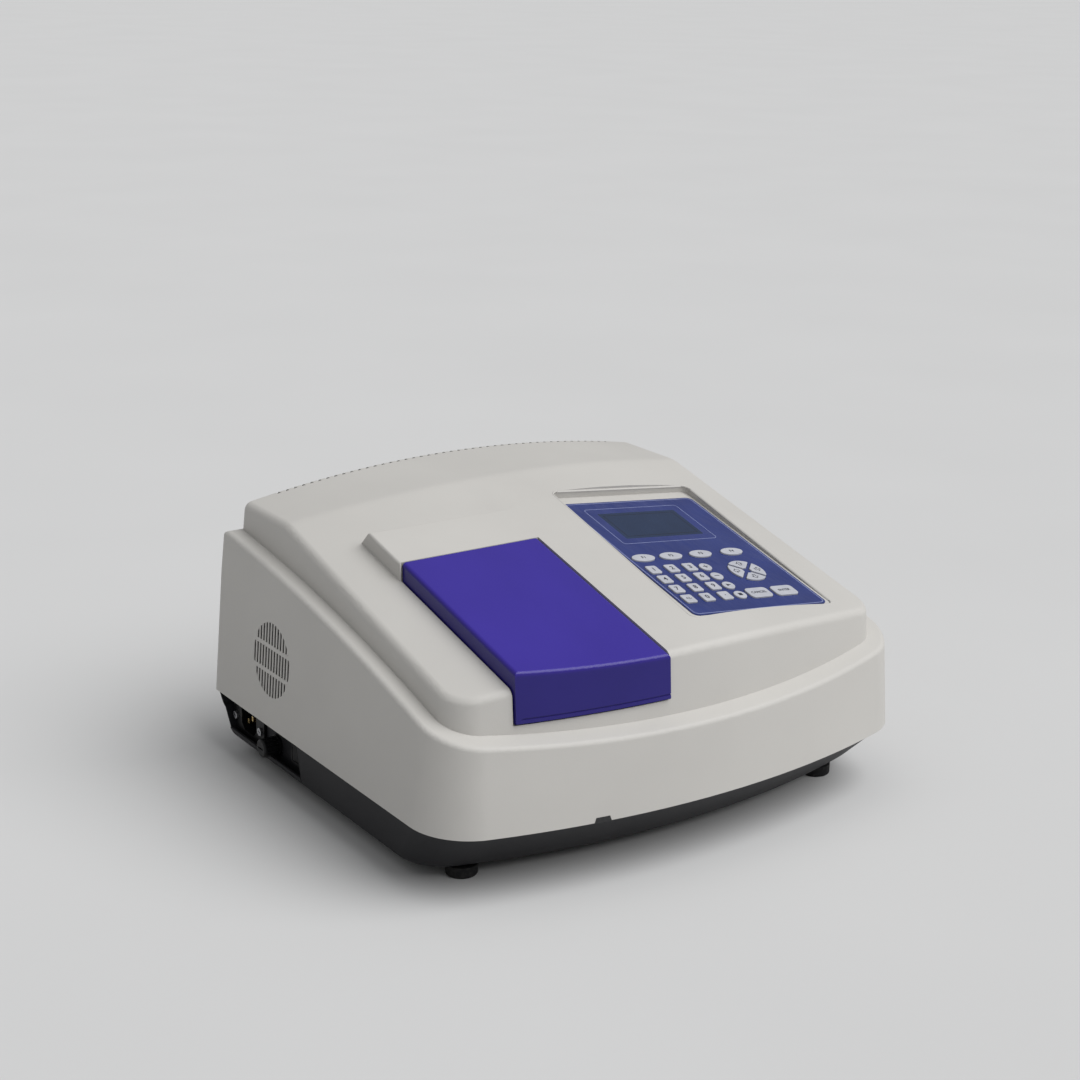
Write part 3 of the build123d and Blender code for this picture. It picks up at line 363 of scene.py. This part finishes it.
# The sample tub and the cell carriage are black anodised aluminium, milled and then matt
# blasted. The carriage slides on two rods and a small motor pushes it.
chamber_black = Finish("chamber_black", roughness=0.6, specular=0.35)
blast = chamber_black.noise(1600.0, 2.0)
chamber_black.tint(blast, (0.012, 0.012, 0.014), (0.024, 0.024, 0.027))
chamber_black.bump(blast, 0.0001, 0.5)
skin("sample_chamber", chamber_black)
cell_black = Finish("cell_black", roughness=0.42, specular=0.5)
milled = cell_black.noise(700.0, 3.0, (1.0, 0.06, 1.0))
cell_black.tint(milled, (0.020, 0.020, 0.023), (0.040, 0.040, 0.045))
cell_black.bump(milled, 0.00004, 0.4)
skin("cell_carriage", cell_black, "carriage")
motor_metal = Finish("motor_metal", roughness=0.4, metallic=1.0)
drawn = motor_metal.noise(900.0, 3.0, (1.0, 0.1, 1.0))
motor_metal.tint(drawn, (0.30, 0.30, 0.31), (0.46, 0.46, 0.47))
motor_metal.set("Roughness", drawn * 0.2 + 0.3)
skin("carriage_drive", motor_metal)

# The keypad film is blue polyester, printed from behind, with a thin pale line just inside
# its edge and another round the display. It is stuck on the panel and waves a little.
panel_origin = Vector((0.081, -0.0385, 0.167894))
panel_normal = Vector((0.10085, -0.21608, 0.97115)).normalized()
panel_u = Vector((1.0, 0.0, -0.10385)).normalized()
panel_v = panel_normal.cross(panel_u)
film_middle, film_half = (0.0, -0.0045), (0.0594, 0.0839)
display_middle = (-0.005, 0.0425)


def along(finish, axis):
    """Distance of the surface point from the panel's middle along one panel axis."""
    sockets = {0: finish.place(), 1: axis}
    reached = finish.node("ShaderNodeVectorMath", {"operation": "DOT_PRODUCT"}, sockets, "Value")
    return reached - panel_origin.dot(axis)


def frame_line(finish, u, v, middle, half, corner, thin):
    """1 on a line of the given half thickness that follows a rectangle with round corners."""
    across = abs(u - middle[0]) - (half[0] - corner)
    down = abs(v - middle[1]) - (half[1] - corner)
    outside_u = across.maths("MAXIMUM", 0.0)
    outside_v = down.maths("MAXIMUM", 0.0)
    outside = (outside_u * outside_u + outside_v * outside_v).maths("SQRT")
    inside = across.maths("MAXIMUM", down).maths("MINIMUM", 0.0)
    return abs(outside + inside - corner) < thin


film = Finish("overlay_blue", roughness=0.3, coat=0.05, specular=0.32)
film_u, film_v = along(film, panel_u), along(film, panel_v)
edge_line = frame_line(film, film_u, film_v, film_middle, film_half, 0.004, 0.00022)
glass_line = frame_line(film, film_u, film_v, display_middle, (0.0435, 0.0275), 0.003, 0.00018)
print_blue = film.between(film.noise(22.0, 2.0), (0.014, 0.026, 0.140), (0.021, 0.037, 0.180))
lines = edge_line.maths("MAXIMUM", glass_line)
film.set("Base Color", film.mix(lines, print_blue, (0.34, 0.38, 0.60, 1.0)))
waves = film.noise(38.0, 2.0, (1.0, 0.6, 1.0))
creases = film.noise(85.0, 3.0, (1.0, 0.35, 1.0))
film.set("Roughness", waves * 0.12 + 0.24)
film.bump(waves * 0.7 + creases * 0.3, 0.0030, 0.8)
skin("keypad_overlay", film, crease=35.0)

# A fine rounded lip follows the edge of the sunk panel. It is moulded with the cover, and
# it catches the light along the left and lower sides.
lip_half_u, lip_half_v, lip_corner = 0.0652, 0.0927, 0.0062
lip_radius = 0.00085
lip_sink = 0.00045
crown_radius = 0.780


def rounded_path(half_u, half_v, corner, count):
    """Points on a rectangle with round corners: the middle of a corner plus a turning radius."""
    angle = np.linspace(0, 2 * np.pi, count, endpoint=False) + 1e-4
    quarter = np.floor(angle / (np.pi / 2)).astype(int)
    side_u = np.array([1, -1, -1, 1])[quarter]
    side_v = np.array([1, 1, -1, -1])[quarter]
    within = (angle - quarter * np.pi / 2) / (np.pi / 2)
    bend = quarter * np.pi / 2 + np.clip((within - 0.25) / 0.5, 0, 1) * np.pi / 2
    u = side_u * (half_u - corner) + corner * np.cos(bend)
    v = side_v * (half_v - corner) + corner * np.sin(bend)
    return u, v


def roof_point(u, v):
    """Lifts a panel point along the panel's normal until it lies on the crowned slope."""
    normal = np.array(panel_normal)
    base = np.array(panel_origin) + u[:, None] * np.array(panel_u) + v[:, None] * np.array(panel_v)
    lift = np.zeros(len(u))
    for _ in range(4):
        x, y, z = (base + lift[:, None] * normal).T
        roof = slope_height + slope * y - (crown_radius - np.sqrt(crown_radius**2 - x**2))
        lift += (roof - z) / panel_normal.z
    return base + lift[:, None] * normal


def closed_tube(path, radius, sides, name):
    """A ring of circles round a closed path, each square to the path."""
    ahead_of = np.roll(path, -1, 0) - np.roll(path, 1, 0)
    ahead_of /= np.linalg.norm(ahead_of, axis=1)[:, None]
    side = np.cross(ahead_of, np.array(panel_normal))
    side /= np.linalg.norm(side, axis=1)[:, None]
    over = np.cross(side, ahead_of)
    turns = np.linspace(0, 2 * np.pi, sides, endpoint=False)[None, :, None]
    rings = path[:, None] + radius * (np.cos(turns) * side[:, None] + np.sin(turns) * over[:, None])
    i, j = np.meshgrid(np.arange(len(path)), np.arange(sides), indexing="ij")
    next_i, next_j = (i + 1) % len(path), (j + 1) % sides
    quads = [i * sides + j, next_i * sides + j, next_i * sides + next_j, i * sides + next_j]
    mesh = bpy.data.meshes.new(name)
    mesh.from_pydata(rings.reshape(-1, 3).tolist(), [], np.stack(quads, -1).reshape(-1, 4).tolist())
    mesh.shade_smooth()
    return mesh


lip_path = roof_point(*rounded_path(lip_half_u, lip_half_v, lip_corner, 720))
lip_mesh = closed_tube(lip_path - lip_sink * np.array(panel_normal), lip_radius, 12, "panel_lip")
lip_mesh.materials.append(shell_grey.material)
lip = put_in("panel_lip", lip_mesh)
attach(lip, "case")


# The switch board under the keys and the main board over the optics are green glass-epoxy
# with copper tracks that show through the lacquer.
def refinish(name, finish):
    """Gives a CAD node that keeps its own shape a finish."""
    nodes[name].data.materials.clear()
    nodes[name].data.materials.append(finish.material)


board_green = Finish("board_green", roughness=0.4, coat=0.3)
board_green.set("Base Color", board_green.node("ShaderNodeTexBrick", {"offset": 0.5}, {
    "Vector": board_green.place(), "Scale": 160.0, "Mortar Size": 0.035,
    "Color1": (0.010, 0.085, 0.035, 1.0), "Color2": (0.014, 0.105, 0.045, 1.0),
    "Mortar": (0.030, 0.180, 0.070, 1.0),
}, "Color"))
board_green.bump(board_green.noise(500.0, 2.0), 0.0001, 0.3)
refinish("keypad_plate", board_green)
refinish("main_board", board_green)

# The display is a dark liquid-crystal module with a clear acrylic window before it. The
# idle glass is deep navy, and its dot field has a thin dark border.
glass = Finish("display_glass", roughness=0.12, specular=0.22)
glass_u, glass_v = along(glass, panel_u), along(glass, panel_v)
field = frame_line(glass, glass_u, glass_v, display_middle, (0.0325, 0.0165), 0.0006, 0.0003)
glass_navy = glass.between(glass.noise(30.0, 2.0), (0.0085, 0.021, 0.058), (0.012, 0.028, 0.074))
glass.set("Base Color", glass.mix(field, glass_navy, (0.004, 0.009, 0.022, 1.0)))
glass.set("Roughness", glass.noise(60.0, 3.0) * 0.1 + 0.08)
skin("lcd_window", glass)
display_dark = Finish("display_dark")
display_tone = display_dark.noise(400.0)
display_dark.tint(display_tone, (0.010, 0.010, 0.012), (0.022, 0.022, 0.025))
refinish("lcd_module", display_dark)

# The keys are pale grey silicone caps that stand through the film and sink by under half a
# millimetre. Each has its own figure or sign printed in dark ink on its top.
key_grey = Finish("key_grey", roughness=0.46, specular=0.45)
touch = key_grey.noise(120.0, 3.0)
key_grey.tint(touch, (0.430, 0.442, 0.490), (0.490, 0.500, 0.545))
key_grey.set("Roughness", touch * 0.15 + 0.38)
key_grey.bump(key_grey.noise(2400.0, 1.0), 0.00005, 0.4)
ink = Finish("key_ink", roughness=0.55)
ink.tint(ink.noise(900.0), (0.016, 0.017, 0.030), (0.026, 0.027, 0.042))
key_top = 0.00203
ink_depth = 0.00006


def printed_key(mesh, key, u, v):
    """Finishes a key, and sets a flat drawing on its top in the panel's own axes."""
    skin(key, key_grey, key + "_body", 40.0)
    seat = panel_origin + u * panel_u + v * panel_v + key_top * panel_normal
    axes = Matrix((panel_u, panel_v, panel_normal)).transposed().to_4x4()
    mesh.transform(Matrix.Translation(seat) @ axes)
    mesh.materials.clear()
    mesh.materials.append(ink.material)
    piece = put_in("ink_" + key, mesh)
    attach(piece, key + "_body")


def figure(text, size):
    """A figure as a thin mesh, centred on its own origin."""
    words = bpy.data.curves.new("figure", "FONT")
    words.body = text
    words.size = size
    words.align_x = "CENTER"
    words.align_y = "CENTER"
    words.extrude = ink_depth
    words.offset = size * 0.012
    holder = put_in("figure", words)
    bpy.context.view_layer.update()
    drawn_words = holder.evaluated_get(bpy.context.evaluated_depsgraph_get())
    mesh = bpy.data.meshes.new_from_object(drawn_words)
    bpy.data.objects.remove(holder)
    corners = np.zeros(len(mesh.vertices) * 3)
    mesh.vertices.foreach_get("co", corners)
    corners = corners.reshape(-1, 3)
    corners[:, :2] -= (corners[:, :2].min(0) + corners[:, :2].max(0)) / 2
    mesh.vertices.foreach_set("co", corners.ravel())
    return mesh


def sign(*outlines):
    """A sign made of flat convex outlines in millimetres, each given its ink's thickness."""
    corners, faces = [], []
    for shape in outlines:
        start, count = len(corners), len(shape)
        corners += [(x / 1000, y / 1000, z) for z in (-ink_depth, ink_depth) for x, y in shape]
        low = [start + i for i in range(count)]
        high = [i + count for i in low]
        faces += [high, low[::-1]]
        faces += [list(side) for side in zip(low, low[1:] + low[:1], high[1:] + high[:1], high)]
    mesh = bpy.data.meshes.new("sign")
    mesh.from_pydata(corners, [], faces)
    return mesh


def stroke(outline, wide):
    """The edges of a closed outline, each as a thin oblong of the given width."""
    strips = []
    for (x0, y0), (x1, y1) in zip(outline, outline[1:] + outline[:1]):
        long = math.hypot(x1 - x0, y1 - y0)
        ax, ay = (x1 - x0) / long * wide / 2, (y1 - y0) / long * wide / 2
        strips.append([(x0 - ax + ay, y0 - ay - ax), (x1 + ax + ay, y1 + ay - ax),
                       (x1 + ax - ay, y1 + ay + ax), (x0 - ax - ay, y0 - ay + ax)])
    return strips


digit_u, digit_v, digit_size = -0.0515, -0.026, 0.0062
column_pitch, row_pitch = 0.0164, 0.0143
small_size = 0.0042
digits = [["key_1", "key_2", "key_3"], ["key_4", "key_5", "key_6"],
          ["key_7", "key_8", "key_9"], ["key_sign", "key_0", "key_point"]]
marks = {"key_sign": "+/-", "key_point": "."}
for row, names in enumerate(digits):
    for column, key in enumerate(names):
        size = small_size if key == "key_sign" else digit_size
        u, v = digit_u + column_pitch * column, digit_v - row_pitch * row
        printed_key(figure(marks.get(key, key[-1]), size), key, u, v)

function_v = -0.0082
for number, u in enumerate((-0.048, -0.023, 0.0045, 0.034), 1):
    printed_key(figure(f"F{number}", small_size), f"key_function_{number}", u, function_v)

round_u, round_v, round_pitch = -0.0056, -0.0278, 0.014
level_bar = [(-2.2, -0.3), (2.2, -0.3), (2.2, 0.3), (-2.2, 0.3)]
upright_bar = [(-0.3, -2.2), (0.3, -2.2), (0.3, 2.2), (-0.3, 2.2)]
start_mark = [(-1.8, -1.6), (2.0, 0.0), (-1.8, 1.6)]
stop_mark = [(-1.6, -1.6), (1.6, -1.6), (1.6, 1.6), (-1.6, 1.6)]
for number, shapes in enumerate(([level_bar, upright_bar], [level_bar], [start_mark], [stop_mark])):
    printed_key(sign(*shapes), f"key_round_{number + 1}", round_u, round_v - round_pitch * number)

arrow_u, arrow_v, arrow_ring, arrow_line = 0.026, -0.0374, 0.0098, 0.42
arrow_up = [(-1.1, -2.4), (1.1, -2.4), (1.1, 0.1), (2.7, 0.1), (0.0, 2.6), (-2.7, 0.1), (-1.1, 0.1)]
for number, key in enumerate(("key_up", "key_left", "key_down", "key_right")):
    cos, sin = math.cos(math.radians(90 * number)), math.sin(math.radians(90 * number))
    arrow = [(x * cos - y * sin, x * sin + y * cos) for x, y in arrow_up]
    u, v = arrow_u - arrow_ring * sin, arrow_v + arrow_ring * cos
    printed_key(sign(*stroke(arrow, arrow_line)), key, u, v)

word_v, word_size = -0.069, 0.0036
for key, u, text in (("key_cancel", 0.0122, "CANCEL"), ("key_enter", 0.036, "ENTER")):
    printed_key(figure(text, word_size), key, u, word_v)

# The mains inlet, the fuse holder and the switch sit in the tray's pocket. They are black
# glass-filled nylon, and the inlet's blades are brass.
inlet_black = Finish("inlet_black", roughness=0.42, specular=0.28)
fibre = inlet_black.noise(1300.0, 3.0)
inlet_black.tint(fibre, (0.0035, 0.0035, 0.004), (0.008, 0.008, 0.009))
inlet_black.set("Roughness", fibre * 0.2 + 0.32)
inlet_black.bump(fibre, 0.00006, 0.5)
for name in ("power_inlet", "fuse_holder", "switch_frame"):
    skin(name, inlet_black)
skin("fuse_cap", inlet_black, "fuse_cap")
skin("rocker_switch", inlet_black, "rocker")
brass = Finish("pin_brass", roughness=0.28, metallic=1.0)
tarnish = brass.noise(700.0, 3.0)
brass.tint(tarnish, (0.62, 0.44, 0.17), (0.78, 0.60, 0.29))
brass.set("Roughness", tarnish * 0.2 + 0.2)
skin("inlet_pins", brass)

# The fan draws air out through the round grille at the back. Frame and rotor are black
# plastic, and the rotor turns on a stub of the frame.
fan_black = Finish("fan_black")
fan_grain = fan_black.noise(1000.0, 2.0)
fan_black.tint(fan_grain, (0.011, 0.011, 0.012), (0.024, 0.024, 0.026))
fan_black.bump(fan_grain, 0.00008, 0.4)
skin("fan_frame", fan_black)
skin("fan_rotor", fan_black, "fan")

# The optics stand on one cast aluminium plate: the grating in its black light-tight case,
# two lamps in a sheet-metal house, and the detector beside the sample tub.
bench_cast = Finish("bench_cast", roughness=0.55, metallic=1.0)
cast = bench_cast.noise(420.0, 4.0)
bench_cast.tint(cast, (0.36, 0.36, 0.37), (0.50, 0.50, 0.51))
bench_cast.bump(cast, 0.0003, 0.5)
case_black = Finish("case_black", roughness=0.6)
crinkle = case_black.noise(650.0, 2.0)
case_black.tint(crinkle, (0.012, 0.012, 0.013), (0.026, 0.026, 0.028))
case_black.bump(crinkle, 0.0004, 0.6)
grating_mirror = Finish("grating_mirror", roughness=0.12, metallic=1.0)
# Painted reflection: bands of rainbow tints on the metal stand in for the light the grating splits.
sheen_bands = grating_mirror.noise(60.0, 2.0, (1.0, 1.0, 0.1))
painted_rainbow_sheen = (0.3, (0.62, 0.66, 0.74)), (0.5, (0.74, 0.74, 0.70)), (0.7, (0.70, 0.62, 0.72))
grating_mirror.set("Base Color", grating_mirror.ramp(sheen_bands, *painted_rainbow_sheen))
house_steel = Finish("house_steel", roughness=0.4, metallic=1.0)
sheeted = house_steel.noise(800.0, 3.0, (0.1, 1.0, 1.0))
house_steel.tint(sheeted, (0.48, 0.49, 0.50), (0.62, 0.63, 0.64))
house_steel.set("Roughness", sheeted * 0.2 + 0.3)
lamp_glass = Finish("lamp_glass", roughness=0.08, coat=0.4, specular=0.7)
haze = lamp_glass.noise(140.0, 3.0)
lamp_glass.tint(haze, (0.42, 0.45, 0.47), (0.66, 0.69, 0.70))
detector_metal = Finish("detector_metal", roughness=0.36, metallic=1.0)
turned = detector_metal.noise(1200.0, 3.0, (1.0, 0.1, 1.0))
detector_metal.tint(turned, (0.34, 0.35, 0.37), (0.50, 0.51, 0.53))
hidden = {
    "optical_bench": bench_cast, "monochromator_case": case_black,
    "diffraction_grating": grating_mirror, "lamp_house": house_steel,
    "halogen_lamp": lamp_glass, "deuterium_lamp": lamp_glass,
    "detector_block": detector_metal, "power_supply": house_steel,
}
for name, finish in hidden.items():
    refinish(name, finish)

# A small notch is cut in the cover's lower front edge, where a blade lifts the cover off
# the tray. Its shaded inside is painted shade: a thin near-black sheet just proud of the cover.
front_bow, bow_middle = 0.61376, 0.43426
notch_middle, notch_half, notch_taper = -0.0895, 0.0062, 0.0012
notch_foot, notch_height, notch_proud = 0.0468, 0.0036, 0.00012
notch_across, notch_rise = np.meshgrid(np.linspace(-1, 1, 13), np.linspace(0, 1, 5))
notch_x = notch_middle + notch_across * (notch_half - notch_taper * notch_rise)
notch_z = notch_foot + notch_height * notch_rise
bow_there = front_bow - wall_lean * (notch_z - seam_height)
notch_y = bow_middle - np.sqrt(bow_there**2 - notch_x**2) - notch_proud
thin_piece("front_notch_shade", notch_x, notch_y, notch_z, 0.0004, -1.0, case_black)
